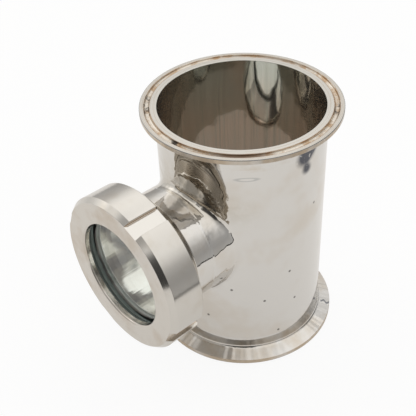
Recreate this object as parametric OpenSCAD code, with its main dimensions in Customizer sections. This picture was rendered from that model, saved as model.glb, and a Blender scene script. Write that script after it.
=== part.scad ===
// Sanitary sight glass: a straight spool with a clamp ferrule at each end, and a
// side branch whose end is closed by a glass disc held under a slotted union nut.
// Millimetres. +Z runs up the spool, the origin is on the spool's axis at the
// lower sealing face, and the branch points towards -Y. Lengths on the branch
// are measured outwards along it from the spool's axis.

/* [Spool] */
// Height over the two sealing faces
spool_h = 160; // [150:1:200]
// Outer diameter of the spool tube
tube_od = 101.6; // [101.6:0.1:103]
// Wall thickness of the spool tube
tube_wall = 1.5; // [1.2:0.1:2]

/* [Clamp ferrules] */
// Outer diameter of a ferrule's rim
rim_od = 119; // [117:0.5:121]
// Thickness of the rim at its edge
rim_t = 2.85; // [2.5:0.05:3.5]
// Slope of the rim's back, where the clamp pulls
back_slope = 20; // [15:1:25]
// Radius between the rim's back and the tube
back_fillet = 3; // [0.5:0.5:4]
// Length of a ferrule up to its weld
ferrule_len = 12.7; // [11:0.1:15]
// Mean diameter of the gasket groove
groove_pcd = 110.3; // [109:0.1:111]
// Width of the gasket groove
groove_w = 3.2; // [2.6:0.1:3.6]
// Width of the polished weld between ferrule and tube
seam_w = 1.6; // [1:0.1:2.5]

/* [Branch] */
// Height of the branch's axis above the lower sealing face
branch_z = 87; // [70:1:95]
// Outer diameter of the branch
branch_od = 70; // [66:0.5:72]
// Inner diameter of the branch
branch_id = 66; // [62:0.5:66]
// Where the collar drawn out of the spool ends
collar_end = 55; // [54:0.5:57]
// Width of the ring weld between collar and liner
ring_weld_w = 2; // [1.5:0.1:2.5]
// How far the ring weld stands proud
ring_weld_crown = 0.15; // [0.1:0.05:0.6]

/* [Threaded liner] */
// Outer diameter of the round thread
thread_od = 85; // [83:0.5:87]
// Depth of the round thread
thread_depth = 2.1; // [1.8:0.1:2.3]
// Start of the shoulder that carries the thread
shoulder_start = 68.5; // [64:0.5:69]
// Rear end of the thread
thread_start = 74.5; // [74:0.1:76]
// Front rim of the liner
liner_end = 88.5; // [87:0.5:90]
// Diameter of the seat that centres the glass
seat_d = 77; // [76.6:0.1:77.5]
// Depth of the seat below the liner's rim
seat_depth = 9; // [7:0.5:11]

/* [Glass and gaskets] */
// Diameter of the glass disc
glass_d = 76; // [74:0.5:76.4]
// Thickness of the glass disc
glass_t = 12; // [10:0.5:13]
// Bevel on the glass's edges
glass_bevel = 0.6; // [0.3:0.1:1]
// Thickness of each gasket
gasket_t = 2; // [1.5:0.1:2.5]
// Inner diameter of the inner gasket
gasket_id = 67; // [66.2:0.1:70]
// Inner diameter of the outer gasket
slip_id = 66.6; // [66:0.1:70]
// Outer diameter of the outer gasket
slip_od = 83; // [78:0.5:84]

/* [Union nut] */
// Outer diameter of the nut
nut_od = 98; // [96:0.5:102]
// Length of the nut
nut_len = 22.5; // [21:0.5:25]
// Thickness of the lip that holds the glass
lip_t = 4; // [3:0.1:5]
// Diameter of the window in the lip
window_d = 65.5; // [60:0.5:66]
// Radius on the window's outer edge
window_round = 1.6; // [0.5:0.1:2]
// Chamfer of the front edge along the axis
front_chamfer_len = 3.2; // [1:0.1:4]
// Chamfer of the front edge across the axis
front_chamfer_w = 2.4; // [1:0.1:3]
// Chamfer of the rear edge
rear_chamfer = 1; // [0.5:0.1:1.5]
// Radial clearance in the thread
thread_clearance = 0.08; // [0.05:0.01:0.1]
// Number of spanner slots
slot_count = 4; // [4:1:6]
// Width of a spanner slot
slot_w = 10; // [8:0.5:12]
// Depth of a spanner slot
slot_depth = 3; // [2:0.1:3.5]
// Angle of the first slot, from +X towards +Z
slot_angle = 67.5; // [0:0.5:90]

/* [Hidden] */
$fn = 96;
ARC_STEPS = 8;
GROOVE_STEPS = 6;
EDGE_BREAK = 0.3;
CUT = 1;

tube_r = tube_od / 2;
bore_r = tube_r - tube_wall;
rim_r = rim_od / 2;
groove_r = groove_pcd / 2;
branch_r = branch_od / 2;
branch_bore_r = branch_id / 2;
liner_start = collar_end + ring_weld_w;
thread_r = thread_od / 2;
root_r = thread_r - thread_depth;

// The stack under the nut, from the seat in the liner outwards
seat_face = liner_end - seat_depth;
glass_back = seat_face + gasket_t;
glass_front = glass_back + glass_t;
lip_back = glass_front + gasket_t;
nut_front = lip_back + lip_t;
nut_back = nut_front - nut_len;

steel = [0.80, 0.79, 0.77];
turned_steel = [0.74, 0.73, 0.71];
weld_steel = [0.70, 0.69, 0.67];
rubber = [0.10, 0.11, 0.11];
glass_tint = [0.75, 0.88, 0.84, 0.45];

// Points on an arc about c, from angle a0 to a1
function arc(c, r, a0, a1, steps) =
    [for (i = [0:steps]) let (a = a0 + (a1 - a0) * i / steps) c + r * [cos(a), sin(a)]];

// Puts a child made along +Z onto the branch, its +Z pointing outwards
module on_branch(distance = 0) {
    translate([0, -distance, branch_z]) rotate([90, 0, 0]) children();
}

// Half-section of a ferrule with its sealing face on the X axis
module ferrule_section() {
    fillet_c = [tube_r + back_fillet,
                rim_t + (back_fillet + (rim_r - tube_r - back_fillet) * sin(back_slope))
                / cos(back_slope)];
    polygon(concat(
        [[bore_r, 0]],
        arc([groove_r, 0], groove_w / 2, 180, 0, GROOVE_STEPS),
        [[rim_r - EDGE_BREAK, 0], [rim_r, EDGE_BREAK], [rim_r, rim_t]],
        arc(fillet_c, back_fillet, 270 - back_slope, 180, ARC_STEPS),
        [[tube_r, ferrule_len], [bore_r, ferrule_len]]));
}

module ferrule() {
    rotate_extrude() ferrule_section();
}

// Flush ring of weld metal between a ferrule and the tube
module seam_weld() {
    translate([0, 0, ferrule_len]) difference() {
        cylinder(r = tube_r, h = seam_w);
        translate([0, 0, -CUT]) cylinder(r = bore_r, h = seam_w + 2 * CUT);
    }
}

module at_upper_end() {
    translate([0, 0, spool_h]) mirror([0, 0, 1]) children();
}

// Spool tube with the collar drawn out of its side
module spool_body() {
    tube_start = ferrule_len + seam_w;
    color(steel) difference() {
        union() {
            translate([0, 0, tube_start]) cylinder(r = tube_r, h = spool_h - 2 * tube_start);
            on_branch() cylinder(r = branch_r, h = collar_end);
        }
        translate([0, 0, -CUT]) cylinder(r = bore_r, h = spool_h + 2 * CUT);
        on_branch() cylinder(r = branch_bore_r, h = collar_end + CUT);
    }
}

module upper_ferrule() {
    color(steel) at_upper_end() ferrule();
}

module lower_ferrule() {
    color(steel) ferrule();
}

module upper_seam_weld() {
    color(weld_steel) at_upper_end() seam_weld();
}

module lower_seam_weld() {
    color(weld_steel) seam_weld();
}

// Ring weld with a crowned outside
module branch_ring_weld() {
    half = ring_weld_w / 2;
    crown_r = (half * half + ring_weld_crown * ring_weld_crown) / (2 * ring_weld_crown);
    spread = asin(half / crown_r);
    color(weld_steel) on_branch(collar_end) rotate_extrude() polygon(concat(
        [[branch_bore_r, 0]],
        arc([branch_r + ring_weld_crown - crown_r, half], crown_r, -spread, spread, ARC_STEPS),
        [[branch_bore_r, ring_weld_w]]));
}

// Male half of the union, with the glass's seat inside its thread
module threaded_liner() {
    chamfer = thread_depth / 2;
    shoulder_end = shoulder_start + root_r - branch_r;
    color(turned_steel) on_branch() rotate_extrude() polygon([
        [branch_bore_r, liner_start],
        [branch_r, liner_start],
        [branch_r, shoulder_start],
        [root_r, shoulder_end],
        [root_r, thread_start],
        [thread_r - chamfer, thread_start],
        [thread_r, thread_start + chamfer],
        [thread_r, liner_end - chamfer],
        [thread_r - chamfer, liner_end],
        [seat_d / 2 + EDGE_BREAK, liner_end],
        [seat_d / 2, liner_end - EDGE_BREAK],
        [seat_d / 2, seat_face],
        [branch_bore_r, seat_face]]);
}

// Flat ring along the branch
module flat_ring(inner_d, outer_d, start, thickness) {
    on_branch(start) difference() {
        cylinder(d = outer_d, h = thickness);
        translate([0, 0, -CUT]) cylinder(d = inner_d, h = thickness + 2 * CUT);
    }
}

module inner_gasket() {
    color(rubber) flat_ring(gasket_id, seat_d - EDGE_BREAK, seat_face, gasket_t);
}

module glass_disc() {
    glass_r = glass_d / 2;
    color(glass_tint) on_branch() rotate_extrude() polygon([
        [0, glass_back],
        [glass_r - glass_bevel, glass_back],
        [glass_r, glass_back + glass_bevel],
        [glass_r, glass_front - glass_bevel],
        [glass_r - glass_bevel, glass_front],
        [0, glass_front]]);
}

module outer_gasket() {
    color(rubber) flat_ring(slip_id, slip_od, glass_front, gasket_t);
}

// Round nut with spanner slots along its whole length
module union_nut() {
    nut_r = nut_od / 2;
    window_r = window_d / 2;
    cavity_r = thread_r + thread_clearance;
    color(turned_steel) on_branch() difference() {
        rotate_extrude() polygon(concat(
            [[cavity_r, nut_back + rear_chamfer],
             [cavity_r + rear_chamfer, nut_back],
             [nut_r - rear_chamfer, nut_back],
             [nut_r, nut_back + rear_chamfer],
             [nut_r, nut_front - front_chamfer_len],
             [nut_r - front_chamfer_w, nut_front]],
            arc([window_r + window_round, nut_front - window_round], window_round,
                90, 180, ARC_STEPS),
            [[window_r, lip_back],
             [cavity_r, lip_back]]));
        for (i = [0:slot_count - 1])
            rotate(slot_angle + i * 360 / slot_count)
                translate([nut_r - slot_depth, -slot_w / 2, nut_back - CUT])
                    cube([slot_depth + CUT, slot_w, nut_len + 2 * CUT]);
    }
}

spool_body();
upper_ferrule();
lower_ferrule();
upper_seam_weld();
lower_seam_weld();
branch_ring_weld();
threaded_liner();
inner_gasket();
glass_disc();
outer_gasket();
union_nut();
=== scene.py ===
"""Looks of a sanitary sight glass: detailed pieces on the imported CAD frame, studio and camera."""

import math

import bpy
import numpy as np
from mathutils import Matrix, Vector


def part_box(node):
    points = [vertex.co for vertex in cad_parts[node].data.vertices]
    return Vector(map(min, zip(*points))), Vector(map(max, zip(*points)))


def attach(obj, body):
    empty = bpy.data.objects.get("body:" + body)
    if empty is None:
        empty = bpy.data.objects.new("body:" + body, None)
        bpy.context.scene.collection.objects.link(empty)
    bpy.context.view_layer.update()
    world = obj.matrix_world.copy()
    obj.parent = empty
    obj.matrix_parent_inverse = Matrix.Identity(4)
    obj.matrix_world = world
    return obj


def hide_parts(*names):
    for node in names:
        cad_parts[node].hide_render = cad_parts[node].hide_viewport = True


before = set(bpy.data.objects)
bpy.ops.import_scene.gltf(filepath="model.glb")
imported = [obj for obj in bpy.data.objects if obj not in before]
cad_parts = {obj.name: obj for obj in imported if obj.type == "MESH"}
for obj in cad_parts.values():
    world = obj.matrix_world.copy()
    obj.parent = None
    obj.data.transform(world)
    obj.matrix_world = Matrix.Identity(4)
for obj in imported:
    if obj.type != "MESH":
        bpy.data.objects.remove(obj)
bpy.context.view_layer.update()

# Shapes are in millimetres, as in the CAD source, and become metres in Skin.build.
# Materials work in metres, because a shader sees the scene's own units.
MM = 0.001


def box_mm(node):
    """Lowest and highest corner of a CAD node, in millimetres."""
    low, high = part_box(node)
    return low / MM, high / MM


def reach_out(node):
    """Where a node on the branch starts and ends, measured out from the spool's axis."""
    low, high = box_mm(node)
    return -high.y, -low.y


# Spool, read from the frame, with the sizes that no box gives named here
SPOOL_H = box_mm("upper_ferrule")[1].z
RIM_R = box_mm("upper_ferrule")[1].x
FERRULE_LEN = box_mm("lower_ferrule")[1].z
TUBE_START = box_mm("lower_seam_weld")[1].z
TUBE_R = box_mm("lower_seam_weld")[1].x
TUBE_WALL = 1.5
BORE_R = TUBE_R - TUBE_WALL
RIM_T = 2.85
BACK_SLOPE = math.radians(20)
BACK_FILLET = 3.0
GROOVE_R = 55.15
GROOVE_HALF = 1.6
GROOVE_IN = GROOVE_R - GROOVE_HALF
GROOVE_OUT = GROOVE_R + GROOVE_HALF

# Branch and what is stacked on it, as distances out from the spool's axis
BRANCH_Z = (box_mm("threaded_liner")[0].z + box_mm("threaded_liner")[1].z) / 2
BRANCH_R = 35.0
BRANCH_BORE_R = 33.0
COLLAR_END = reach_out("spool_body")[1]
LINER_START, LINER_END = reach_out("threaded_liner")
THREAD_R = box_mm("threaded_liner")[1].x
THREAD_DEPTH = 2.1
THREAD_PITCH = 25.4 / 6
THREAD_START = 74.5
SHOULDER_START = 68.5
ROOT_R = THREAD_R - THREAD_DEPTH
THREAD_STEP = THREAD_PITCH / 18
SEAT_R = 38.5
SEAT_FACE = reach_out("inner_gasket")[0]
GLASS_BACK, GLASS_FRONT = reach_out("glass_disc")
GLASS_R = box_mm("glass_disc")[1].x
GLASS_BEVEL = 0.6
LIP_BACK = reach_out("outer_gasket")[1]
INNER_GASKET_IN = 33.5
OUTER_GASKET_IN = 33.3
NUT_BACK, NUT_FRONT = reach_out("union_nut")
NUT_R = 49.0
REAR_CHAMFER = 1.0
FRONT_CHAMFER_LEN = 3.2
FRONT_CHAMFER_W = 2.4
CAVITY_R = THREAD_R + 0.08
WINDOW_R = 32.75
WINDOW_ROUND = 1.6
SLOT_COUNT = 4
SLOT_ANGLE = math.radians(67.5)
SLOT_HALF = 5.0
SLOT_FLOOR = NUT_R - 3.0
EDGE_BREAK = 0.3

# Where a piece's own axis lies: a turning matrix and a shift
UPRIGHT = (np.eye(3), np.zeros(3))
UPPER_END = (np.diag([1.0, 1.0, -1.0]), np.array([0.0, 0.0, SPOOL_H]))
ENDS = [("lower", UPRIGHT), ("upper", UPPER_END)]
ON_BRANCH = (np.array([[1.0, 0, 0], [0, 0, -1], [0, 1, 0]]), np.array([0, 0, BRANCH_Z]))

FULL_TURN = 2 * math.pi
AROUND = np.linspace(0, FULL_TURN, 240, endpoint=False)


# ---- mesh tools


class Skin:
    """A closed mesh gathered from patches of points that carry their true normals."""

    # Points nearer than this are one point. The shift keeps round values off the cells' edges.
    WELD = 0.002
    OFF_GRID = 0.000617

    def __init__(self, place=UPRIGHT):
        self.turn, self.shift = place
        self.points, self.normals, self.faces, self.slots = [], [], [], []
        self.count = 0

    def _add(self, points, normals):
        self.points.append(points.reshape(-1, 3) @ self.turn.T + self.shift)
        self.normals.append(normals.reshape(-1, 3) @ self.turn.T)
        first = self.count
        self.count += len(self.points[-1])
        return first

    def patch(self, points, normals, slot=0, around=False):
        """Adds a grid of points. Its last column joins the first where it goes around."""
        normals = np.broadcast_to(normals, points.shape)
        first = self._add(points, normals)
        rows, columns = points.shape[:2]
        index = np.arange(rows * columns).reshape(rows, columns)
        if around:
            index = np.hstack([index, index[:, :1]])
        quads = np.stack(
            [index[:-1, :-1], index[:-1, 1:], index[1:, 1:], index[1:, :-1]], -1
        ).reshape(-1, 4)
        p, n = self.points[-1], self.normals[-1]
        area = np.cross(p[quads[:, 2]] - p[quads[:, 0]], p[quads[:, 3]] - p[quads[:, 1]])
        if np.einsum("ij,ij->", area, n[quads].sum(1)) < 0:
            quads = quads[:, ::-1]
        self.faces += (quads + first).tolist()
        self.slots += [slot] * len(quads)

    def cap(self, ring, normal, slot=0):
        """Closes a flat ring of points with one face."""
        first = self._add(ring, np.broadcast_to(normal, ring.shape))
        p = self.points[-1]
        area = np.cross(p, np.roll(p, -1, 0)).sum(0)
        face = list(range(first, self.count))
        self.faces.append(face if area @ self.normals[-1][0] > 0 else face[::-1])
        self.slots.append(slot)

    def build(self, name, materials):
        """Welds the patches and returns one object with smooth, exact normals."""
        points, normals = np.concatenate(self.points), np.concatenate(self.normals)
        normals /= np.linalg.norm(normals, axis=1)[:, None]
        keys = np.round((points + self.OFF_GRID) / self.WELD).astype(np.int64)
        _, kept, merged = np.unique(keys, axis=0, return_index=True, return_inverse=True)
        merged = merged.ravel().tolist()
        faces, corners, slots = [], [], []
        for face, slot in zip(self.faces, self.slots):
            used = [i for k, i in enumerate(face) if merged[i] != merged[face[k - 1]]]
            if len(used) > 2:
                faces.append([merged[i] for i in used])
                corners += used
                slots.append(slot)
        mesh = bpy.data.meshes.new(name)
        mesh.from_pydata((points[kept] * MM).tolist(), [], faces)
        mesh.polygons.foreach_set("material_index", slots)
        mesh.polygons.foreach_set("use_smooth", [True] * len(faces))
        mesh.normals_split_custom_set(normals[corners].tolist())
        for material in materials:
            mesh.materials.append(material)
        piece = bpy.data.objects.new(name, mesh)
        bpy.context.scene.collection.objects.link(piece)
        return piece


def profile(corners, closed=True, step=math.radians(9)):
    """Samples a half-section. Each corner is (radius, height, rounding, slot of the next side).

    The metal lies on the left of the way round, and an open line's two ends have no rounding.
    Returns runs as (slot, samples), and a sample is (radius, height, normal's radius part,
    normal's height part).
    """
    spots = np.array([corner[:2] for corner in corners], float)
    sides = np.roll(spots, -1, 0) - spots
    ways = sides / np.linalg.norm(sides, axis=1)[:, None]
    count = len(corners)

    def bend(i):
        """How the line turns at a corner, and how far from the corner its rounding starts."""
        cross = ways[i - 1][0] * ways[i][1] - ways[i - 1][1] * ways[i][0]
        turn = math.atan2(cross, ways[i - 1] @ ways[i])
        return turn, corners[i][2] * math.tan(abs(turn) / 2)

    runs, run = [], []
    for i in range(count if closed else count - 1):
        way, slot = ways[i], corners[i][3]
        if not run or not corners[i][2] or slot != runs[-1][0]:
            start = spots[i] + way * bend(i)[1]
            run = [(*start, way[1], -way[0])]
            runs.append((slot, run))
        after = (i + 1) % count
        rounding = corners[after][2]
        if not rounding:
            run.append((*spots[after], way[1], -way[0]))
            continue
        turn, reach = bend(after)
        side = math.copysign(1.0, turn)
        centre = spots[after] - way * reach + side * rounding * np.array([-way[1], way[0]])
        steps = max(2, math.ceil(abs(turn) / step))
        for k in range(steps + 1):
            c, s = math.cos(turn * k / steps), math.sin(turn * k / steps)
            normal = np.array([way[1] * c + way[0] * s, way[1] * s - way[0] * c])
            run.append((*(centre + side * rounding * normal), *normal))
    return runs


def lathe(skin, runs, angles=AROUND):
    """Sweeps every run of a profile round the axis."""
    c, s = np.cos(angles)[None], np.sin(angles)[None]
    flat = np.ones_like(c)
    for slot, samples in runs:
        radius, height, along, up = np.array(samples).T[:, :, None]
        points = np.stack([radius * c, radius * s, height * flat], -1)
        normals = np.stack([along * c, along * s, up * flat], -1)
        skin.patch(points, normals, slot, around=True)


def relief(skin, radius, heights, angles=AROUND, outward=1, slot=0):
    """A round wall whose radius varies along and around, with normals from its slope."""
    c, s = np.cos(angles)[None], np.sin(angles)[None]
    tall = heights[:, None]
    wide = np.hstack([radius[:, -1:], radius, radius[:, :1]])
    turns = np.concatenate([[angles[-1] - FULL_TURN], angles, [angles[0] + FULL_TURN]])
    along = np.gradient(radius, heights, axis=0)
    across = np.gradient(wide, turns, axis=1)[:, 1:-1] / radius
    points = np.stack([radius * c, radius * s, tall * np.ones_like(c)], -1)
    normals = np.stack([c + across * s, s - across * c, -along], -1) * outward
    skin.patch(points, normals, slot=slot, around=True)
    return points


def between(skin, ring_a, ring_b, normal, slot=0):
    """A flat ring between two rings of points."""
    skin.patch(np.stack([ring_a, ring_b]), np.array(normal, float), slot, around=True)


def circle(radius, height, angles=AROUND):
    """A ring of points round the axis."""
    flat = np.full_like(angles, height)
    return np.stack([radius * np.cos(angles), radius * np.sin(angles), flat], -1)


def smooth_step(values, low, high):
    """0 below low, 1 above high, and a smooth rise between them."""
    t = np.clip((values - low) / (high - low), 0, 1)
    return t * t * (3 - 2 * t)


def mount(skin, name, materials, node, body="spool"):
    """Builds a skin as the piece that stands for a CAD node."""
    piece = skin.build(name, materials)
    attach(piece, body)
    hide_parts(node)


# ---- shader tools


class Graph:
    """Adds shader nodes in few words. All but node and place return one node's output."""

    def __init__(self, tree, material=None):
        self.tree = tree
        self.material = material
        tree.nodes.clear()

    def node(self, kind, inputs=None, **settings):
        made = self.tree.nodes.new("ShaderNode" + kind)
        for key, value in settings.items():
            setattr(made, key, value)
        for key, value in (inputs or {}).items():
            if isinstance(value, bpy.types.NodeSocket):
                self.tree.links.new(value, made.inputs[key])
            else:
                made.inputs[key].default_value = value
        return made

    def math(self, operation, a, b=0.0, clamp=False):
        made = self.node("Math", {0: a, 1: b}, operation=operation, use_clamp=clamp)
        return made.outputs[0]

    def add(self, *values):
        """The sum of two or more values."""
        total = values[0]
        for value in values[1:]:
            total = self.math("ADD", total, value)
        return total

    def times(self, a, b):
        return self.math("MULTIPLY", a, b)

    def span(self, value, low, high, to_low=0.0, to_high=1.0):
        """Maps a value from low..high to to_low..to_high with a smooth step."""
        inputs = {"Value": value, 1: low, 2: high, 3: to_low, 4: to_high}
        made = self.node("MapRange", inputs, interpolation_type="SMOOTHSTEP")
        return made.outputs[0]

    def mix(self, share, a, b, blend="MIX"):
        """Colour a where the share is 0, and b where it is 1."""
        inputs = {0: share, 6: a, 7: b}
        made = self.node("Mix", inputs, data_type="RGBA", blend_type=blend)
        return made.outputs[2]

    def noise(self, vector, scale, detail=2.0, roughness=0.5, distortion=0.0):
        inputs = {"Vector": vector, "Scale": scale, "Detail": detail}
        inputs |= {"Roughness": roughness, "Distortion": distortion}
        return self.node("TexNoise", inputs).outputs["Fac"]

    def vector(self, x, y, z):
        return self.node("CombineXYZ", {0: x, 1: y, 2: z}).outputs[0]

    def grain(self, parts, scales, detail=2.0, roughness=0.5):
        """Noise of three values, each with its own scale."""
        scaled = [self.times(part, scale) for part, scale in zip(parts, scales)]
        return self.noise(self.vector(*scaled), 1.0, detail, roughness)

    def stops(self, value, stops):
        """A ramp through (position, colour or grey) stops."""
        ramp = self.node("ValToRGB", {0: value})
        elements = ramp.color_ramp.elements
        while len(elements) < len(stops):
            elements.new(1.0)
        for element, (position, colour) in zip(elements, stops):
            element.position = position
            grey = isinstance(colour, float)
            element.color = (colour,) * 3 + (1.0,) if grey else (*colour, 1.0)
        return ramp.outputs[0]

    def place(self):
        """The point's place on the object, and its x, y and z, in metres."""
        point = self.node("TexCoord").outputs["Object"]
        parts = self.node("SeparateXYZ", {0: point}).outputs
        return point, parts[0], parts[1], parts[2]

    def length(self, *parts):
        """Length of a vector given by its parts."""
        total = self.add(*[self.times(p, p) for p in parts])
        return self.math("SQRT", total)

    def off(self, value, target):
        """How far a value is from its target, either way."""
        return self.math("ABSOLUTE", self.math("SUBTRACT", value, target))

    def fade(self, value, low, high):
        """1 below low, falling to 0 above high."""
        return self.span(value, low, high, 1.0, 0.0)

    def bump(self, height, distance, strength=1.0, normal=None):
        """A normal tilted by a height from 0 to 1 that stands for a distance in metres."""
        inputs = {"Height": height, "Distance": distance, "Strength": strength}
        if normal is not None:
            inputs["Normal"] = normal
        return self.node("Bump", inputs).outputs[0]

    def spot(self, point, centre, radius, soft=0.5):
        """1 at a point of the object, falling to 0 at a radius, both in metres."""
        made = self.node("VectorMath", {0: point, 1: centre}, operation="DISTANCE")
        return self.fade(made.outputs["Value"], radius * (1 - soft), radius)


def shading(name):
    """The graph of a new material."""
    material = bpy.data.materials.new(name)
    material.use_nodes = True
    return Graph(material.node_tree, material)


def surface(graph, **inputs):
    """Ends a graph with a Principled shader, whose inputs are named with _ for spaces."""
    named = {key.replace("_", " "): value for key, value in inputs.items()}
    shader = graph.node("BsdfPrincipled", named)
    graph.node("OutputMaterial", {"Surface": shader.outputs[0]})
    return graph.material


def metal(graph, colour, roughness, normal, **more):
    """Ends a graph with bare metal."""
    inputs = {"Base_Color": colour, "Metallic": 1.0, "Roughness": roughness, "Normal": normal}
    return surface(graph, **(inputs | more))


def on_tube(azimuth, height, radius=TUBE_R):
    """A point on a wall of the spool in metres, azimuth counted from -Y towards +X."""
    a = math.radians(azimuth)
    return (MM * radius * math.sin(a), -MM * radius * math.cos(a), MM * height)


# ---- materials


def tone(red, green, blue):
    """An opaque colour."""
    return (red, green, blue, 1.0)


WHITE = tone(1.0, 1.0, 1.0)
STEEL = tone(0.70, 0.682, 0.655)
STEEL_TINTED = tone(0.63, 0.575, 0.505)
# Tone of the painted brown reflection above the branch
BROWN_REFLECTION_TONE = tone(0.50, 0.455, 0.375)
OXIDE = tone(0.36, 0.21, 0.11)
GRIME = tone(0.05, 0.045, 0.04)
HANDLED = tone(0.07, 0.075, 0.095)
SCUFFED = tone(0.34, 0.35, 0.35)
# Colour of the painted dark reflection on the lower ferrule's back
PAINTED_DARK_REFLECTION = tone(0.10, 0.11, 0.14)
BRANCH_AT = BRANCH_Z * MM

# Marks, painted reflections and painted shade: azimuths in degrees from -Y towards +X, heights in
# millimetres and radii in metres.
# SCUFF_HALF_SIZE is millimetres along the tube's round and up it.
PITS = [(61, 46.3), (85.5, 39.8), (80, 65), (38, 57), (102, 107.6), (20, 31), (72, 17)]
PIT_RADIUS = 0.0011
BLOTS = [(93, 149, 0.0090), (89, 145.5, 0.0078), (96, 151, 0.0074), (91.5, 137.5, 0.0050)]
SCUFF_AT = (49, 141.0)
SCUFF_HALF_SIZE = (5.8, 1.1)
# Azimuth of the painted dark reflection on the lower ferrule's back
DARK_REFLECTION_AZIMUTH = 128
# Where the bore's painted brown reflection lies
BROWN_REFLECTION_AT = (222, 85)
# Azimuth of the painted shade on the upper ferrule's groove wall
INNER_WALL_SHADE_AZIMUTH = 46
GRIME_SPOTS = [(-44, 0.014), (4, 0.006), (128, 0.008)]


def branch_radius(graph, x, z):
    """Distance from the branch's axis, in metres."""
    return graph.length(x, graph.math("SUBTRACT", z, BRANCH_AT))


def polished_outside():
    """Mirror-polished tube: faint clouds, handling marks, pits, and a wavy root at the branch, with
    a painted brown reflection above it.
    """
    g = shading("polished_outside")
    point, x, y, z = g.place()
    cloud = g.noise(point, 26.0, 3.0, 0.6)
    fine = g.noise(point, 190.0, 3.0, 0.6)
    root = g.fade(branch_radius(g, x, z), 0.036, 0.062)
    root = g.times(root, g.fade(y, -0.03, -0.02))
    ripples_and_brown_reflection = g.times(root, g.span(z, BRANCH_AT + 0.016, BRANCH_AT + 0.034))
    tint = g.times(g.span(cloud, 0.44, 0.68), 0.6)
    colour = g.mix(tint, STEEL, STEEL_TINTED)
    # Painted reflection: mottled brown on the tube above the branch, in the zone where the root
    # also ripples
    brown = g.times(ripples_and_brown_reflection, g.span(fine, 0.3, 0.6, 0.15, 0.5))
    colour = g.mix(brown, colour, BROWN_REFLECTION_TONE)
    marks, colour = smudged(g, point, colour)
    colour = g.mix(scuff(g, x, y, z), colour, SCUFFED)
    pits = g.add(*[g.spot(point, on_tube(*place), PIT_RADIUS) for place in PITS])
    colour = g.mix(g.times(pits, 0.75), colour, GRIME)
    roughness = g.add(0.012, g.times(cloud, 0.03), g.times(fine, 0.02), g.times(marks, 0.15))
    drawn = g.grain((x, y, z), (60.0, 60.0, 1500.0))
    waves = g.noise(point, 34.0, 2.0, 0.45)
    dents = g.noise(point, 66.0, 2.0, 0.45)
    ripples = g.noise(point, 170.0, 2.0, 0.4)
    normal = g.bump(waves, 0.00016)
    normal = g.bump(dents, 0.0011, strength=root, normal=normal)
    normal = g.bump(ripples, 0.00045, strength=ripples_and_brown_reflection, normal=normal)
    normal = g.bump(drawn, 0.0000012, normal=normal)
    return metal(g, colour, roughness, normal)


def smudged(g, point, colour):
    """Dark handling marks under the upper ferrule: their mask, and the colour with them."""
    ragged = g.span(g.noise(point, 420.0, 3.0, 0.7, 0.6), 0.26, 0.42)
    whole = g.add(*[g.spot(point, on_tube(a, h), radius, 0.75) for a, h, radius in BLOTS])
    marks = g.times(g.math("MINIMUM", whole, 1.0), ragged)
    return marks, g.mix(g.times(marks, 0.94), colour, HANDLED)


def off_azimuth(g, x, y, azimuth):
    """A point's turn from an azimuth in degrees, in radians and positive towards +X."""
    here = g.math("ARCTAN2", x, g.times(y, -1.0))
    return g.math("SUBTRACT", here, math.radians(azimuth))


def scuff(g, x, y, z):
    """Outline of a flat elliptical scuff below the upper ferrule."""
    azimuth, height = SCUFF_AT
    half_w, half_h = SCUFF_HALF_SIZE
    along = g.times(off_azimuth(g, x, y, azimuth), TUBE_R / half_w)
    up = g.times(g.math("SUBTRACT", z, height * MM), 1 / (half_h * MM))
    off = g.length(along, up)
    ring = g.times(g.span(off, 0.55, 0.9), g.fade(off, 1.0, 1.5))
    return g.times(ring, 0.45)


def polished_bore():
    """Inside of the spool: a duller drawn finish with upright streaks, and a painted brown
    reflection in one zone.
    """
    g = shading("polished_bore")
    point, x, y, z = g.place()
    streaks = g.grain((x, y, z), (420.0, 420.0, 9.0), 3.0)
    cloud = g.noise(point, 30.0, 3.0, 0.6)
    # Painted reflection: a brown zone on the bore's wall across from the camera
    browned = g.spot(point, on_tube(*BROWN_REFLECTION_AT, BORE_R), 0.076, 0.55)
    browned = g.times(browned, g.span(cloud, 0.25, 0.6, 0.6, 1.0))
    colour = g.mix(browned, tone(0.575, 0.56, 0.51), tone(0.67, 0.53, 0.445))
    colour = g.mix(g.span(streaks, 0.42, 0.68, 0.0, 0.55), colour, tone(0.47, 0.45, 0.39))
    roughness = g.add(0.02, g.times(streaks, 0.05), g.times(cloud, 0.03))
    waves = g.bump(g.noise(point, 45.0, 2.0, 0.4), 0.00025)
    normal = g.bump(streaks, 0.000004, normal=waves)
    return metal(g, colour, roughness, normal, Metallic=0.95)


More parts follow.
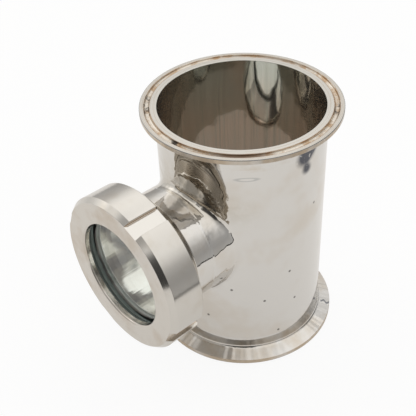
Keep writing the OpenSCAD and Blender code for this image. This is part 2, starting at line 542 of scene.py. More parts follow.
def ferrule_face():
    """Faced lands with fine turning rings and brown oxide lines along the gasket groove."""
    g = shading("ferrule_face")
    point, x, y = g.place()[:3]
    radius = g.length(x, y)
    rings = g.grain((radius, x, y), (5200.0, 40.0, 40.0))
    patchy = g.span(g.noise(point, 75.0, 3.0, 0.65), 0.36, 0.62)
    near = g.math("MINIMUM", g.off(radius, GROOVE_IN * MM), g.off(radius, GROOVE_OUT * MM))
    line = g.times(g.fade(near, 0.0001, 0.0006), g.add(0.45, g.times(patchy, 0.5)))
    turned_at = (BORE_R + 0.1, 51.3, 57.7, 58.6)
    beside = [g.off(radius, at * MM) for at in turned_at]
    turned_lines = g.add(*[g.fade(off, 0.0, 0.22 * MM) for off in beside])
    turned_lines = g.times(turned_lines, g.add(0.3, g.times(patchy, 0.4)))
    fine = g.span(rings, 0.56, 0.66, 0.0, 0.5)
    colour = g.mix(fine, tone(0.60, 0.575, 0.53), tone(0.42, 0.37, 0.31))
    colour = g.mix(turned_lines, colour, tone(0.40, 0.30, 0.21))
    colour = g.mix(g.times(line, 0.9), colour, OXIDE)
    corner = g.span(radius, (RIM_R - 0.5) * MM, (RIM_R - 0.15) * MM)
    colour = g.mix(g.times(corner, 0.75), colour, tone(0.16, 0.165, 0.175))
    roughness = g.add(0.16, g.times(rings, 0.12), g.times(line, 0.15))
    normal = g.bump(rings, 0.000006)
    return metal(g, colour, roughness, normal)


def ferrule_groove():
    """Gasket groove: dull and browned, with a long band of painted shade on its inner wall and
    three spots of dark grime.
    """
    g = shading("ferrule_groove")
    point, x, y = g.place()[:3]
    patchy = g.noise(point, 95.0, 4.0, 0.7)
    colour = g.mix(g.span(patchy, 0.42, 0.66), tone(0.68, 0.62, 0.54), tone(0.46, 0.32, 0.20))
    # Painted shade: a long dark brown band on the groove's inner wall, at the front of the upper
    # ferrule
    inner_wall_shade = g.spot(point, on_tube(INNER_WALL_SHADE_AZIMUTH, SPOOL_H, GROOVE_IN), 0.024, 0.7)
    inner_wall_shade = g.times(inner_wall_shade, g.fade(g.length(x, y), (GROOVE_R - 0.9) * MM, GROOVE_R * MM))
    colour = g.mix(g.times(inner_wall_shade, 0.9), colour, tone(0.13, 0.07, 0.035))
    spots = [g.spot(point, on_tube(a, SPOOL_H, GROOVE_R), r, 0.8) for a, r in GRIME_SPOTS]
    broken = g.span(g.noise(point, 330.0, 2.0, 0.6), 0.45, 0.6)
    grime = g.times(g.add(*spots), broken)
    colour = g.mix(grime, colour, GRIME)
    return surface(g, Base_Color=colour, Metallic=0.92, Roughness=g.add(0.15, g.times(patchy, 0.2)))


def dark_reflection_streak(g, x, y, z, radius):
    """One wavy streak of painted dark reflection across the back of the lower ferrule."""
    wave = g.times(g.math("SINE", g.times(radius, 1500.0)), math.radians(0.9))
    off = g.off(off_azimuth(g, x, y, DARK_REFLECTION_AZIMUTH), wave)
    line = g.times(g.fade(off, math.radians(0.3), math.radians(1.5)), 0.75)
    on_rim = g.times(g.fade(z, 6.0 * MM, 6.5 * MM), g.span(radius, 52.6 * MM, 54.0 * MM))
    return g.times(line, on_rim)


def ferrule_back():
    """Turned and polished back of the ferrule: rings round it, waves, and a browned rim."""
    g = shading("ferrule_back")
    point, x, y, z = g.place()
    radius = g.length(x, y)
    rings = g.grain((radius, z, x), (2600.0, 2600.0, 30.0))
    cloud = g.noise(point, 60.0, 3.0, 0.6)
    slope = g.span(radius, (TUBE_R + 0.3) * MM, (TUBE_R + 1.6) * MM)
    colour = g.mix(g.span(cloud, 0.42, 0.72), STEEL, STEEL_TINTED)
    rim = g.span(radius, (RIM_R - 0.35) * MM, (RIM_R - 0.05) * MM)
    rim = g.times(rim, g.span(cloud, 0.3, 0.62, 0.3, 1.0))
    colour = g.mix(rim, colour, tone(0.56, 0.46, 0.35))
    colour = smudged(g, point, colour)[1]
    # Painted dark reflection: a wavy dark streak on the lower ferrule's back
    colour = g.mix(dark_reflection_streak(g, x, y, z, radius), colour, PAINTED_DARK_REFLECTION)
    dull = g.times(slope, g.add(0.22, g.times(rings, 0.08)))
    roughness = g.add(0.04, g.times(cloud, 0.04), dull)
    sectors = g.vector(g.math("DIVIDE", x, radius), g.math("DIVIDE", y, radius), 0.0)
    waves = g.noise(sectors, 5.0, 2.0, 0.5)
    normal = g.bump(waves, 0.0015, strength=g.add(0.05, g.times(slope, 0.9)))
    normal = g.bump(rings, 0.000002, normal=normal)
    round_it = g.node("Tangent", direction_type="RADIAL", axis="Z").outputs[0]
    return metal(
        g, colour, roughness, normal,
        Anisotropic=g.times(slope, 0.8), Anisotropic_Rotation=0.25, Tangent=round_it,
    )


def weld_metal():
    """Weld polished down with the tube: a trace of straw heat tint and a few fine ripples."""
    g = shading("weld_metal")
    point = g.place()[0]
    cloud = g.noise(point, 120.0, 3.0, 0.6)
    colour = g.mix(g.span(cloud, 0.45, 0.8, 0.0, 0.5), STEEL, STEEL_TINTED)
    marks, colour = smudged(g, point, colour)
    roughness = g.add(0.025, g.times(cloud, 0.03), g.times(marks, 0.15))
    normal = g.bump(cloud, 0.00002)
    return metal(g, colour, roughness, normal)


def turned_round(name, base, dark, low, high, tool_marks, dents=0.00002):
    """Steel turned round the branch's axis: fine rings of tool marks on every face.

    Colour and roughness each vary between two values, and the marks' depths are in metres.
    """
    g = shading(name)
    point, x, y, z = g.place()
    radius = branch_radius(g, x, z)
    rings = g.grain((radius, y, x), (3800.0, 3800.0, 25.0), 3.0, 0.6)
    broad = g.grain((radius, y, z), (500.0, 500.0, 20.0))
    cloud = g.noise(point, 55.0, 3.0, 0.6)
    share = g.math("MULTIPLY", g.span(cloud, 0.4, 0.75), 0.8, clamp=True)
    colour = g.mix(share, base, dark)
    colour = g.mix(g.times(rings, 0.22), colour, dark)
    roughness = g.add(low, g.times(rings, high - low), g.times(cloud, 0.04))
    normal = g.bump(g.noise(point, 75.0, 2.0, 0.4), dents)
    normal = g.bump(broad, tool_marks * 3, normal=normal)
    normal = g.bump(rings, tool_marks, normal=normal)
    return metal(g, colour, roughness, normal)


def drawn_bore():
    """Inside of the branch: bright drawn tube with streaks along it."""
    g = shading("drawn_bore")
    point, x, y, z = g.place()
    streaks = g.grain((x, y, z), (260.0, 6.0, 260.0), 3.0)
    cloud = g.noise(point, 60.0, 3.0, 0.6)
    colour = g.mix(g.span(cloud, 0.4, 0.8, 0.0, 0.6), tone(0.74, 0.725, 0.69), STEEL_TINTED)
    roughness = g.add(0.02, g.times(streaks, 0.08), g.times(cloud, 0.03))
    normal = g.bump(g.noise(point, 55.0), 0.0001)
    normal = g.bump(streaks, 0.0003, normal=normal)
    return metal(g, colour, roughness, normal)


def milled_slot():
    """Milled spanner slot, browned where polishing compound stays in the corners."""
    g = shading("milled_slot")
    point, x, y, z = g.place()
    lines = g.grain((x, y, z), (300.0, 2400.0, 300.0))
    cloud = g.noise(point, 150.0, 3.0, 0.65)
    radius = branch_radius(g, x, z)
    foot = math.hypot(SLOT_FLOOR, SLOT_HALF)
    wall = g.span(radius, (foot - 0.05) * MM, (foot + 0.25) * MM)
    corner = g.times(wall, g.fade(radius, (foot + 0.6) * MM, (foot + 1.3) * MM))
    upper = g.span(z, BRANCH_AT, BRANCH_AT + 0.03, 0.3, 1.0)
    colour = g.mix(g.times(wall, upper), tone(0.68, 0.655, 0.615), tone(0.40, 0.35, 0.29))
    share = g.times(g.times(corner, upper), g.span(cloud, 0.2, 0.5, 0.5, 1.0))
    colour = g.mix(share, colour, tone(0.50, 0.32, 0.17))
    normal = g.bump(lines, 0.00001)
    roughness = g.add(0.08, g.times(lines, 0.12), g.times(share, 0.2))
    return metal(g, colour, roughness, normal)


def gasket_rubber(name, dark, light):
    """Pressed rubber, fine-grained and a little cloudy."""
    g = shading(name)
    point = g.place()[0]
    grain = g.noise(point, 900.0, 3.0, 0.6)
    cloud = g.noise(point, 90.0, 2.0)
    colour = g.mix(cloud, dark, light)
    roughness = g.add(0.42, g.times(grain, 0.2))
    normal = g.bump(grain, 0.00003)
    return surface(g, Base_Color=colour, Roughness=roughness, Normal=normal)


def clear_glass():
    """Toughened disc: very slightly green, with faint wipe marks."""
    g = shading("clear_glass")
    point = g.place()[0]
    wipe = g.noise(point, 70.0, 3.0, 0.6)
    roughness = g.span(wipe, 0.5, 0.8, 0.0, 0.02)
    return surface(
        g, Base_Color=tone(0.915, 0.97, 0.945), Roughness=roughness, IOR=1.5,
        Transmission_Weight=1.0,
    )


def ground_edge():
    """Ground edge of the disc: frosted, grey-green, and with a low IOR so that it isn't black."""
    g = shading("ground_edge")
    point = g.place()[0]
    grain = g.noise(point, 1400.0, 2.0, 0.6)
    colour = g.mix(grain, tone(0.74, 0.83, 0.80), tone(0.86, 0.94, 0.91))
    roughness = g.add(0.5, g.times(grain, 0.2))
    normal = g.bump(grain, 0.00002)
    return surface(g, Base_Color=colour, Roughness=roughness, IOR=1.02, Normal=normal)


OUTSIDE = polished_outside()
BORE = polished_bore()
FACE = ferrule_face()
GROOVE = ferrule_groove()
BACK = ferrule_back()
WELD = weld_metal()
LINER = turned_round("turned_liner", STEEL, STEEL_TINTED, 0.03, 0.09, 0.000001, 0.0005)
LINER_BORE = drawn_bore()
THREAD = turned_round(
    "turned_thread", tone(0.46, 0.42, 0.36), tone(0.36, 0.31, 0.25), 0.18, 0.32, 0.000003)
NUT_OUT = turned_round(
    "turned_nut", tone(0.65, 0.625, 0.585), tone(0.58, 0.53, 0.465), 0.09, 0.18, 0.0000016)
NUT_FACE = turned_round(
    "faced_nut", tone(0.665, 0.635, 0.59), tone(0.55, 0.475, 0.395), 0.14, 0.26, 0.000006)
NUT_IN = turned_round("bored_nut", tone(0.70, 0.68, 0.64), STEEL_TINTED, 0.04, 0.12, 0.000002)
NUT_REAR = turned_round(
    "rear_nut", tone(0.40, 0.36, 0.30), tone(0.33, 0.28, 0.22), 0.20, 0.32, 0.000006)
SLOT = milled_slot()
OUTER_RUBBER = gasket_rubber("outer_rubber", tone(0.105, 0.13, 0.12), tone(0.15, 0.175, 0.165))
INNER_RUBBER = gasket_rubber("inner_rubber", tone(0.60, 0.66, 0.65), tone(0.70, 0.75, 0.74))
GLASS = clear_glass()
GLASS_EDGE = ground_edge()


# ---- spool

# Columns round the branch's hole, and half the angle and height of the wall's patch with the hole
SADDLE_COLUMNS = 256
PATCH_ANGLE = math.radians(60)
PATCH_HALF_Z = 48.0


def tube_points(along, height, radius):
    """Points and normals on the spool's wall, along being an angle from -Y towards +X."""
    c, s = np.cos(along), np.sin(along)
    points = np.stack([radius * s, -radius * c, height], -1)
    normals = np.stack([s, -c, np.zeros_like(s)], -1)
    return points, normals


def saddle(tube_r, branch_r, rounding, outside):
    """Rolling-ball rounding where the branch meets the spool, from the tube to the branch.

    Returns its points and normals, and where it leaves the tube as angle and height.
    """
    first = -FULL_TURN / 8
    turn = np.linspace(first, first + FULL_TURN, SADDLE_COLUMNS, endpoint=False)
    ball = rounding(turn)
    reach = branch_r + ball
    x, z = reach * np.cos(turn), reach * np.sin(turn)
    y = -np.sqrt((tube_r + ball) ** 2 - x**2)
    centre = np.stack([x, y, z + BRANCH_Z], -1)
    to_tube = -np.stack([x, y, 0 * z], -1) / (tube_r + ball)[:, None]
    to_branch = -np.stack([np.cos(turn), 0 * turn, np.sin(turn)], -1)
    angle = np.arccos(np.clip((to_tube * to_branch).sum(-1), -1, 1))[:, None]
    points, normals = [], []
    for t in np.linspace(0, 1, 13):
        way = (np.sin((1 - t) * angle) * to_tube + np.sin(t * angle) * to_branch) / np.sin(angle)
        points.append(centre + ball[:, None] * way)
        normals.append(-way if outside else way)
    edge = points[0]
    along = np.arctan2(edge[:, 0], -edge[:, 1])
    return np.array(points), np.array(normals), along, edge[:, 2]


def wall_round_branch(skin, radius, along, height, z_low, z_high, sign, slot):
    """The spool's wall with a hole for the branch: an O-grid in a patch and plain grids round it.

    Returns the angles of its columns, which are the same at both ends of the spool.
    """
    quarter = SADDLE_COLUMNS // 4
    ramp = np.linspace(-1, 1, quarter, endpoint=False)
    ones = np.ones(quarter)
    across = np.concatenate([ones, -ramp, -ones, ramp]) * PATCH_ANGLE
    up = np.concatenate([ramp, ones, -ramp, -ones]) * PATCH_HALF_Z + BRANCH_Z
    shares = np.linspace(0, 1, 17)[:, None]
    points, normals = tube_points(
        along + (across - along) * shares, height + (up - height) * shares, radius
    )
    skin.patch(points, normals * sign, slot, around=True)
    even = np.linspace(-1, 1, quarter + 1)
    columns = even * PATCH_ANGLE
    rows = even * PATCH_HALF_Z + BRANCH_Z
    below = np.linspace(z_low, rows[0], 9)
    above = np.linspace(rows[-1], z_high, 4)
    behind = np.linspace(PATCH_ANGLE, FULL_TURN - PATCH_ANGLE, 121)
    for angles, heights in [
        (columns, below), (columns, above), (behind, below), (behind, rows), (behind, above),
    ]:
        grid_along, grid_up = np.meshgrid(angles, heights)
        points, normals = tube_points(grid_along, grid_up, radius)
        skin.patch(points, normals * sign, slot)
    return np.concatenate([columns, behind[1:-1]])


def collar(skin, rim, branch_r, sign, slot):
    """The drawn collar's wall from the saddle to its end. Returns its last ring of points."""
    turn = np.arctan2(rim[:, 2] - BRANCH_Z, rim[:, 0])
    shares = np.linspace(0, 1, 9)[:, None]
    y = rim[:, 1] + (-COLLAR_END - rim[:, 1]) * shares
    c, s = np.cos(turn) * np.ones_like(y), np.sin(turn) * np.ones_like(y)
    points = np.stack([branch_r * c, y, branch_r * s + BRANCH_Z], -1)
    normals = np.stack([c, np.zeros_like(y), s], -1)
    skin.patch(points, normals * sign, slot, around=True)
    return points[-1]


def outer_rounding(turn):
    """Radius of the drawn collar's root: tightest above and below, softest in between."""
    return 4.6 - 1.2 * np.sin(turn) ** 2 + 1.6 * np.sin(2 * turn) ** 2


def inner_rounding(turn):
    """Radius inside the collar's root, larger by about the metal's thickness."""
    return outer_rounding(turn) + 1.75


def spool_shell():
    """Spool tube and drawn collar: an outside, an inside, and the three cut ends."""
    skin = Skin()
    z_low, z_high = TUBE_START, SPOOL_H - TUBE_START
    rims, ends = [], []
    for tube_r, branch_r, rounding, sign, slot in [
        (TUBE_R, BRANCH_R, outer_rounding, 1, 0),
        (BORE_R, BRANCH_BORE_R, inner_rounding, -1, 1),
    ]:
        points, normals, along, height = saddle(tube_r, branch_r, rounding, sign > 0)
        skin.patch(points, normals, slot, around=True)
        ends.append(wall_round_branch(skin, tube_r, along, height, z_low, z_high, sign, slot))
        rims.append(collar(skin, points[-1], branch_r, sign, slot))
    between(skin, rims[0], rims[1], (0, -1, 0))
    for z, up in [(z_low, -1), (z_high, 1)]:
        outer = tube_points(ends[0], np.full_like(ends[0], z), TUBE_R)[0]
        inner = tube_points(ends[1], np.full_like(ends[1], z), BORE_R)[0]
        between(skin, outer, inner, (0, 0, up))
    mount(skin, "spool_shell", [OUTSIDE, BORE], "spool_body")


def ferrule_profile():
    """Half-section of a ferrule, with its sealing face at height 0."""
    bore, back, face, groove = 0, 1, 2, 3
    foot_z = RIM_T + (RIM_R - TUBE_R) * math.tan(BACK_SLOPE)
    return profile([
        (BORE_R, FERRULE_LEN, 0, bore),
        (BORE_R, 0, 0.25, face),
        (GROOVE_IN, 0, 0.2, groove),
        (GROOVE_IN, GROOVE_HALF, 1.35, groove),
        (GROOVE_OUT, GROOVE_HALF, 1.35, groove),
        (GROOVE_OUT, 0, 0.2, face),
        (RIM_R, 0, 0.35, back),
        (RIM_R, RIM_T, 0.4, back),
        (TUBE_R, foot_z, BACK_FILLET, back),
        (TUBE_R, FERRULE_LEN, 0, bore),
    ])


def ferrules():
    """The two clamp ferrules, the upper one upside down."""
    for name, place in ENDS:
        skin = Skin(place)
        lathe(skin, ferrule_profile())
        mount(skin, f"ferrule_{name}", [BORE, BACK, FACE, GROOVE], f"{name}_ferrule")


def ring_of_weld(skin, wall, bore_r, heights, angles=AROUND):
    """A ring with an uneven outer wall, a plain bore and flat ends."""
    outer = relief(skin, wall, heights, angles)
    inner = relief(skin, np.full_like(wall, bore_r), heights, angles, outward=-1, slot=1)
    between(skin, outer[0], inner[0], (0, 0, -1))
    between(skin, outer[-1], inner[-1], (0, 0, 1))


def seam_welds():
    """Weld rings polished almost flush, with a shallow uneven crown."""
    for name, place in ENDS:
        skin = Skin(place)
        heights = np.linspace(FERRULE_LEN, TUBE_START, 9)
        swell = np.sin(np.linspace(0, math.pi, 9))[:, None] ** 2
        crown = 0.003 + 0.002 * np.sin(7 * AROUND) * np.cos(3 * AROUND + 1)
        ring_of_weld(skin, TUBE_R + swell * crown[None], BORE_R, heights)
        mount(skin, f"seam_{name}", [WELD, BORE], f"{name}_seam_weld")


def ring_weld():
    """Ring weld between collar and liner: overlapping beads, polished down almost flush."""
    skin = Skin(ON_BRANCH)
    rng = np.random.default_rng(11)
    bead_count = 96
    angles = np.linspace(0, FULL_TURN, 720, endpoint=False)
    across = np.linspace(-1, 1, 15)[:, None]
    heights = (COLLAR_END + LINER_START) / 2 + across[:, 0] * (LINER_START - COLLAR_END) / 2
    waves = range(2, 9)
    sizes = rng.uniform(0.1, 0.5, len(waves))
    phases = rng.uniform(0, FULL_TURN, len(waves))
    drift = sum(a * np.sin(k * angles + p) for k, a, p in zip(waves, sizes, phases))
    beads = 0.5 + 0.5 * np.cos(bead_count * angles[None] + drift[None] + 1.6 * across**2)
    crown = (1 - across**2) ** 2 * (0.02 + 0.02 * beads)
    ring_of_weld(skin, BRANCH_R + crown, BRANCH_BORE_R, heights, angles)
    mount(skin, "ring_weld_bead", [WELD, LINER_BORE], "branch_ring_weld")


# ---- branch

# How far along the branch a thread takes to run in or out, and the play between the two threads
RUN_OUT = 1.2
FLANK_GAP = 0.14


def thread_radius(heights, angles):
    """Radius of the round thread's flank line, right-handed along the branch."""
    phase = FULL_TURN * heights[:, None] / THREAD_PITCH - angles[None]
    middle = THREAD_R - THREAD_DEPTH / 2
    return middle + THREAD_DEPTH / 2 * np.cos(phase)


def liner():
    """Liner: tube end, shoulder, round thread with a chamfered front, and the glass's seat."""
    skin = Skin(ON_BRANCH)
    cone_end = SHOULDER_START + ROOT_R - BRANCH_R
    lathe(skin, profile([
        (BRANCH_BORE_R, LINER_START, 0, 0),
        (BRANCH_R, LINER_START, 0, 0),
        (BRANCH_R, SHOULDER_START, 1.2, 2),
        (ROOT_R, cone_end, 0.6, 2),
        (ROOT_R, THREAD_START, 0, 2),
    ], closed=False))
    heights = np.arange(THREAD_START, LINER_END - 0.02, THREAD_STEP)
    heights = np.append(heights, LINER_END)
    run_in = smooth_step(heights, THREAD_START, THREAD_START + RUN_OUT)[:, None]
    chamfer = THREAD_R - THREAD_DEPTH / 2 + (LINER_END - heights)[:, None]
    thread = ROOT_R + (thread_radius(heights, AROUND) - ROOT_R) * run_in
    wall = relief(skin, np.minimum(thread, chamfer), heights, slot=2)
    seat_edge = SEAT_R + EDGE_BREAK
    between(skin, wall[-1], circle(seat_edge, LINER_END), (0, 0, 1), 2)
    lathe(skin, profile([
        (seat_edge, LINER_END, 0, 1),
        (SEAT_R, LINER_END - EDGE_BREAK, 0.1, 1),
        (SEAT_R, SEAT_FACE, 0, 1),
        (BRANCH_BORE_R, SEAT_FACE, 0.3, 1),
        (BRANCH_BORE_R, LINER_START, 0, 1),
    ], closed=False))
    mount(skin, "liner", [LINER, LINER_BORE, THREAD], "threaded_liner")


def gasket(name, node, body, rubber, inner_r):
    """Flat ring whose inner edge bulges under the nut's pressure."""
    skin = Skin(ON_BRANCH)
    low, high = reach_out(node)
    outer_r = box_mm(node)[1].x
    bulge, corner = 0.3, 0.3
    middle = (low + high) / 2
    lathe(skin, profile([
        (inner_r + bulge, low, corner, 0),
        (outer_r, low, corner, 0),
        (outer_r, high, corner, 0),
        (inner_r + bulge, high, corner, 0),
        (inner_r, middle, 0.9, 0),
    ]))
    mount(skin, name, [rubber], node, body)


def glass_lens():
    """Thick glass disc: polished faces, and a ground edge with a bevel on either side."""
    skin = Skin(ON_BRANCH)
    flat_r = GLASS_R - GLASS_BEVEL
    cap_r = flat_r - 1
    lathe(skin, profile([
        (cap_r, GLASS_BACK, 0, 0),
        (flat_r, GLASS_BACK, 0.15, 1),
        (GLASS_R, GLASS_BACK + GLASS_BEVEL, 0.15, 1),
        (GLASS_R, GLASS_FRONT - GLASS_BEVEL, 0.15, 1),
        (flat_r, GLASS_FRONT, 0.15, 0),
        (cap_r, GLASS_FRONT, 0, 0),
    ], closed=False))
    skin.cap(circle(cap_r, GLASS_BACK), (0, 0, -1.0))
    skin.cap(circle(cap_r, GLASS_FRONT), (0, 0, 1.0))
    mount(skin, "glass_lens", [GLASS, GLASS_EDGE], "glass_disc")


# ---- nut

# Samples on the rounding where a slot meets the round, and steps on a round between slots
LIP_SAMPLES = 6
ROUND_STEPS = 64
SECTOR = FULL_TURN / SLOT_COUNT


def half_slot(radius):
    """Outline from a slot's middle to the round, in the slot's own axes.

    Returns rows of (x, y, normal x, normal y, share of the round from 0 to 1), and the
    angle at which the outline reaches the round.
    """
    wall = math.sqrt(radius**2 - SLOT_HALF**2) - SLOT_FLOOR
    small = min(EDGE_BREAK, 0.36 * wall)
    rows = [(SLOT_FLOOR, b, 1.0, 0.0, 0.0) for b in np.linspace(0, SLOT_HALF - small, 6)[:-1]]
    for t in np.linspace(0, math.pi / 2, 5):
        c, s = math.cos(t), math.sin(t)
        rows.append((SLOT_FLOOR + small - small * c, SLOT_HALF - small + small * s, c, -s, 0.0))
    middle = math.sqrt((radius - small) ** 2 - (SLOT_HALF + small) ** 2)
    leave = math.atan2(SLOT_HALF + small, middle)
    for t in np.linspace(0, 1, LIP_SAMPLES):
        angle = -math.pi / 2 + t * (leave + math.pi / 2)
        c, s = math.cos(angle), math.sin(angle)
        rows.append((middle + small * c, SLOT_HALF + small + small * s, c, s, t))
    return np.array(rows), leave


def turn_by(rows, angle):
    """Rows of (x, y, normal x, normal y, share) turned about the axis."""
    c, s = math.cos(angle), math.sin(angle)
    x, y, nx, ny, share = rows.T
    return np.stack([x * c - y * s, x * s + y * c, nx * c - ny * s, nx * s + ny * c, share], -1)


def nut_outline(radius):
    """One turn of the nut's outline: rows of (x, y, normal x, normal y, share of the round)."""
    half, leave = half_slot(radius)
    mirrored = half[::-1] * np.array([1, -1, 1, -1, 1])
    angles = np.linspace(leave, SECTOR - leave, ROUND_STEPS + 1)[1:-1]
    c, s = np.cos(angles), np.sin(angles)
    arc = np.stack([radius * c, radius * s, c, s, np.ones_like(c)], -1)
    one = np.concatenate([half, arc, turn_by(mirrored, SECTOR)[:-1]])
    return np.concatenate([turn_by(one, SLOT_ANGLE + k * SECTOR) for k in range(SLOT_COUNT)])


def nut_columns():
    """An angle for each column of the outline, evenly spread within slots and rounds."""
    rows, leave = half_slot(NUT_R)
    inside = np.linspace(0, leave, len(rows))
    arc = np.linspace(leave, SECTOR - leave, ROUND_STEPS + 1)[1:-1]
    one = np.concatenate([inside, arc, SECTOR - inside[::-1][:-1]])
    return np.concatenate([one + SLOT_ANGLE + k * SECTOR for k in range(SLOT_COUNT)])


def nut_outside(skin):
    """Chamfers, round and slots. Returns the rings of points on the rear and front faces."""
    rear_r, front_r = NUT_R - REAR_CHAMFER, NUT_R - FRONT_CHAMFER_W
    samples = profile([
        (rear_r - EDGE_BREAK, NUT_BACK, 0, 0),
        (rear_r, NUT_BACK, 0.15, 0),
        (NUT_R, NUT_BACK + REAR_CHAMFER, 0.3, 0),
        (NUT_R, NUT_FRONT - FRONT_CHAMFER_LEN, 0.35, 0),
        (front_r, NUT_FRONT, 0.25, 0),
        (front_r - EDGE_BREAK, NUT_FRONT, 0, 0),
    ], closed=False)[0][1]
    points, normals = [], []
    for radius, height, along, up in samples:
        x, y, nx, ny, share = nut_outline(radius).T
        lean = 1 - share + share * along
        points.append(np.stack([x, y, np.full_like(x, height)], -1))
        normals.append(np.stack([nx * lean, ny * lean, share * up], -1))
    points, normals = np.array(points), np.array(normals)
    half = len(half_slot(NUT_R)[0])
    per_slot = points.shape[1] // SLOT_COUNT
    points = np.concatenate([points, points[:, :1]], 1)
    normals = np.concatenate([normals, normals[:, :1]], 1)
    for k in range(SLOT_COUNT):
        first, last = k * per_slot, (k + 1) * per_slot
        leaves, enters = first + half - LIP_SAMPLES, last - half + LIP_SAMPLES
        cuts = [(first, leaves + 1, 2), (leaves, enters + 1, 0), (enters, last + 1, 2)]
        for low, high, slot in cuts:
            skin.patch(points[:, low:high], normals[:, low:high], slot)
    return points[0, :-1], points[-1, :-1]


def nut():
    """Union nut: slotted outside, faces, window, cavity, and the female round thread."""
    skin = Skin(ON_BRANCH)
    rear, front = nut_outside(skin)
    angles = nut_columns()
    face_r = WINDOW_R + WINDOW_ROUND + 0.4
    mouth = CAVITY_R + REAR_CHAMFER
    thread_end = LIP_BACK - 2.5
    between(skin, front, circle(face_r, NUT_FRONT, angles), (0, 0, 1), 1)
    between(skin, rear, circle(mouth, NUT_BACK, angles), (0, 0, -1), 4)
    lathe(skin, profile([
        (face_r, NUT_FRONT, 0, 1),
        (WINDOW_R, NUT_FRONT, WINDOW_ROUND, 3),
        (WINDOW_R, LIP_BACK, 0.2, 3),
        (CAVITY_R, LIP_BACK, 0.4, 3),
        (CAVITY_R, thread_end, 0, 3),
    ], closed=False), angles)
    heights = np.append(np.arange(NUT_BACK, thread_end, THREAD_STEP), thread_end)
    run_out = smooth_step(heights, thread_end - RUN_OUT, thread_end)[:, None]
    flank = thread_radius(heights, angles) + FLANK_GAP
    lead_in = mouth - (heights - NUT_BACK)[:, None]
    radius = np.maximum(flank + (CAVITY_R - flank) * run_out, lead_in)
    relief(skin, radius, heights, angles, outward=-1, slot=3)
    materials = [NUT_OUT, NUT_FACE, SLOT, NUT_IN, NUT_REAR]
    mount(skin, "nut", materials, "union_nut", "nut")


# ---- studio and camera


def on_sphere(azimuth, elevation):
    """Unit vector of a direction in degrees, azimuth counted from -Y towards +X."""
    a, e = math.radians(azimuth), math.radians(elevation)
    return (math.sin(a) * math.cos(e), -math.cos(a) * math.cos(e), math.sin(e))


# The studio's brightness from straight down (0) over the horizon (0.5) to straight up (1)
SKY_LEVELS = [
    (0.0, 0.42), (0.36, 0.44), (0.5, 0.36), (0.58, 0.40), (0.66, 0.52), (0.735, 0.80),
    (0.80, 0.98), (0.86, 1.0), (1.0, 1.0),
]
# Azimuth, elevation, outer and inner angle, and the factor on the studio's light within
SKY_ZONES = [
    (43, 12, 30, 13, 0.13),
    (49, 38, 15, 8, 0.25),
    (-8, 41, 30, 15, 0.45),
    (-82, 6, 36, 20, 1.9),
    (-100, 68, 24, 12, 0.62),
    (187, 42, 9, 5, 0.15),
    (147, 11, 27, 13, 0.45),
    (215, 42, 60, 25, 1.15),
]


def studio_light():
    """Soft studio round the object: bright above, grey at eye height, dark round the camera."""
    world = bpy.data.worlds.new("studio")
    bpy.context.scene.world = world
    world.use_nodes = True
    g = Graph(world.node_tree)
    way = g.node("TexCoord").outputs["Generated"]
    up = g.node("SeparateXYZ", {0: way}).outputs[2]
    share = g.math("MULTIPLY", g.add(up, 1.0), 0.5)
    sky = g.stops(share, SKY_LEVELS)
    sky = g.mix(1.0, sky, tone(1.12, 1.11, 1.09), "MULTIPLY")
    for azimuth, elevation, outer, inner, factor in SKY_ZONES:
        towards = on_sphere(azimuth, elevation)
        near = g.node("VectorMath", {0: way, 1: towards}, operation="DOT_PRODUCT").outputs["Value"]
        low, high = math.cos(math.radians(outer)), math.cos(math.radians(inner))
        sky = g.mix(1.0, sky, g.span(near, low, high, 1.0, factor), "MULTIPLY")
    seen = g.node("LightPath").outputs["Is Camera Ray"]
    colour = g.mix(seen, sky, WHITE)
    light = g.node("Background", {"Color": colour, "Strength": 1.0})
    g.node("OutputWorld", {"Surface": light.outputs[0]})


# The table top lies just under the object. Behind FLOOR_CORNER along Y it ends in a dark strip
# beyond FLOOR_EDGE along X, and in front of it the whole side is pale.
FLOOR_DROP = 0.05
FLOOR_SIDE = 900.0
FLOOR_Y = (-800.0, 1000.0)
FLOOR_EDGE = 290.0
FLOOR_DARK_W = 55.0
FLOOR_CORNER = -170.0


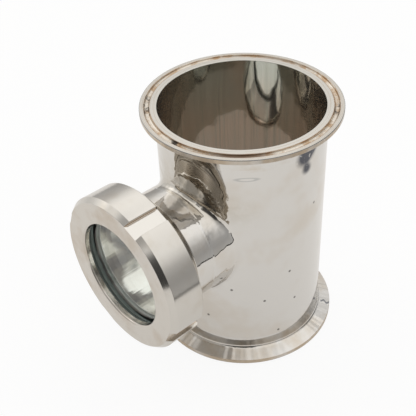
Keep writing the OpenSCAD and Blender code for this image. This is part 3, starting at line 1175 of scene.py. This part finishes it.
def pale_floor():
    """A finite pale table top. It glows, so that it stays plain under the soft light."""
    g = shading("pale_floor")
    point, x, y = g.place()[:3]
    cloud = g.noise(point, 2.0, 1.0)
    colour = g.mix(cloud, tone(0.90, 0.885, 0.865), tone(0.92, 0.905, 0.885))
    rim = g.math("GREATER_THAN", x, FLOOR_EDGE * MM)
    rim = g.times(rim, g.math("GREATER_THAN", y, FLOOR_CORNER * MM))
    colour = g.mix(rim, colour, tone(0.05, 0.05, 0.045))
    seen = g.node("LightPath").outputs["Is Camera Ray"]
    colour = g.mix(seen, colour, WHITE)
    glow = g.node("Emission", {"Color": colour, "Strength": 1.0})
    matt = g.node("BsdfDiffuse", {"Color": colour})
    share = g.span(seen, 0.0, 1.0, 0.5, 0.12)
    both = g.node("MixShader", {0: share, 1: glow.outputs[0], 2: matt.outputs[0]})
    g.node("OutputMaterial", {"Surface": both.outputs[0]})
    skin = Skin()
    far_x = FLOOR_EDGE + FLOOR_DARK_W
    y_near, y_far = FLOOR_Y
    for x_low, x_high, y_high in [
        (-FLOOR_SIDE, far_x, y_far), (far_x, FLOOR_SIDE, FLOOR_CORNER),
    ]:
        across, along = np.meshgrid(np.linspace(x_low, x_high, 9), np.linspace(y_near, y_high, 9))
        down = np.full_like(across, -FLOOR_DROP)
        skin.patch(np.stack([across, along, down], -1), (0, 0, 1.0))
    floor = skin.build("floor", [g.material])


# Camera: degrees, metres from its target, the target's shift from the object's middle, and lens
CAMERA_WAY = (49.40, 38.64)
CAMERA_ROLL = math.radians(-2.64)
CAMERA_DISTANCE = 0.51378
CAMERA_SHIFT = (-0.02221, 0.00067)
CAMERA_LENS = 69.35


def camera():
    """The camera, looking down on the branch's side."""
    back = Vector(on_sphere(*CAMERA_WAY))
    azimuth = math.radians(CAMERA_WAY[0])
    right = Vector((math.cos(azimuth), math.sin(azimuth), 0))
    up = back.cross(right)
    tilted_right = right * math.cos(CAMERA_ROLL) + up * math.sin(CAMERA_ROLL)
    tilted_up = up * math.cos(CAMERA_ROLL) - right * math.sin(CAMERA_ROLL)
    middle = Vector((0, 0, SPOOL_H / 2 * MM))
    target = middle + tilted_right * CAMERA_SHIFT[0] + tilted_up * CAMERA_SHIFT[1]
    data = bpy.data.cameras.new("camera")
    data.sensor_width = 36
    data.lens = CAMERA_LENS
    data.clip_start, data.clip_end = 0.01, 20
    made = bpy.data.objects.new("camera", data)
    matrix = Matrix((tilted_right, tilted_up, back)).transposed().to_4x4()
    matrix.translation = target + back * CAMERA_DISTANCE
    made.matrix_world = matrix
    bpy.context.scene.collection.objects.link(made)
    bpy.context.scene.camera = made


def render_manner():
    """Plain tones, and enough bounces for steel that mirrors steel."""
    scene = bpy.context.scene
    scene.view_settings.view_transform = "Standard"
    scene.cycles.max_bounces = 20
    scene.cycles.glossy_bounces = 16
    scene.cycles.transmission_bounces = 14
    scene.cycles.sample_clamp_indirect = 10


spool_shell()
ferrules()
seam_welds()
ring_weld()
liner()
gasket("gasket_inner", "inner_gasket", "spool", INNER_RUBBER, INNER_GASKET_IN)
gasket("gasket_outer", "outer_gasket", "gasket_carrier", OUTER_RUBBER, OUTER_GASKET_IN)
glass_lens()
nut()
pale_floor()
studio_light()
camera()
render_manner()
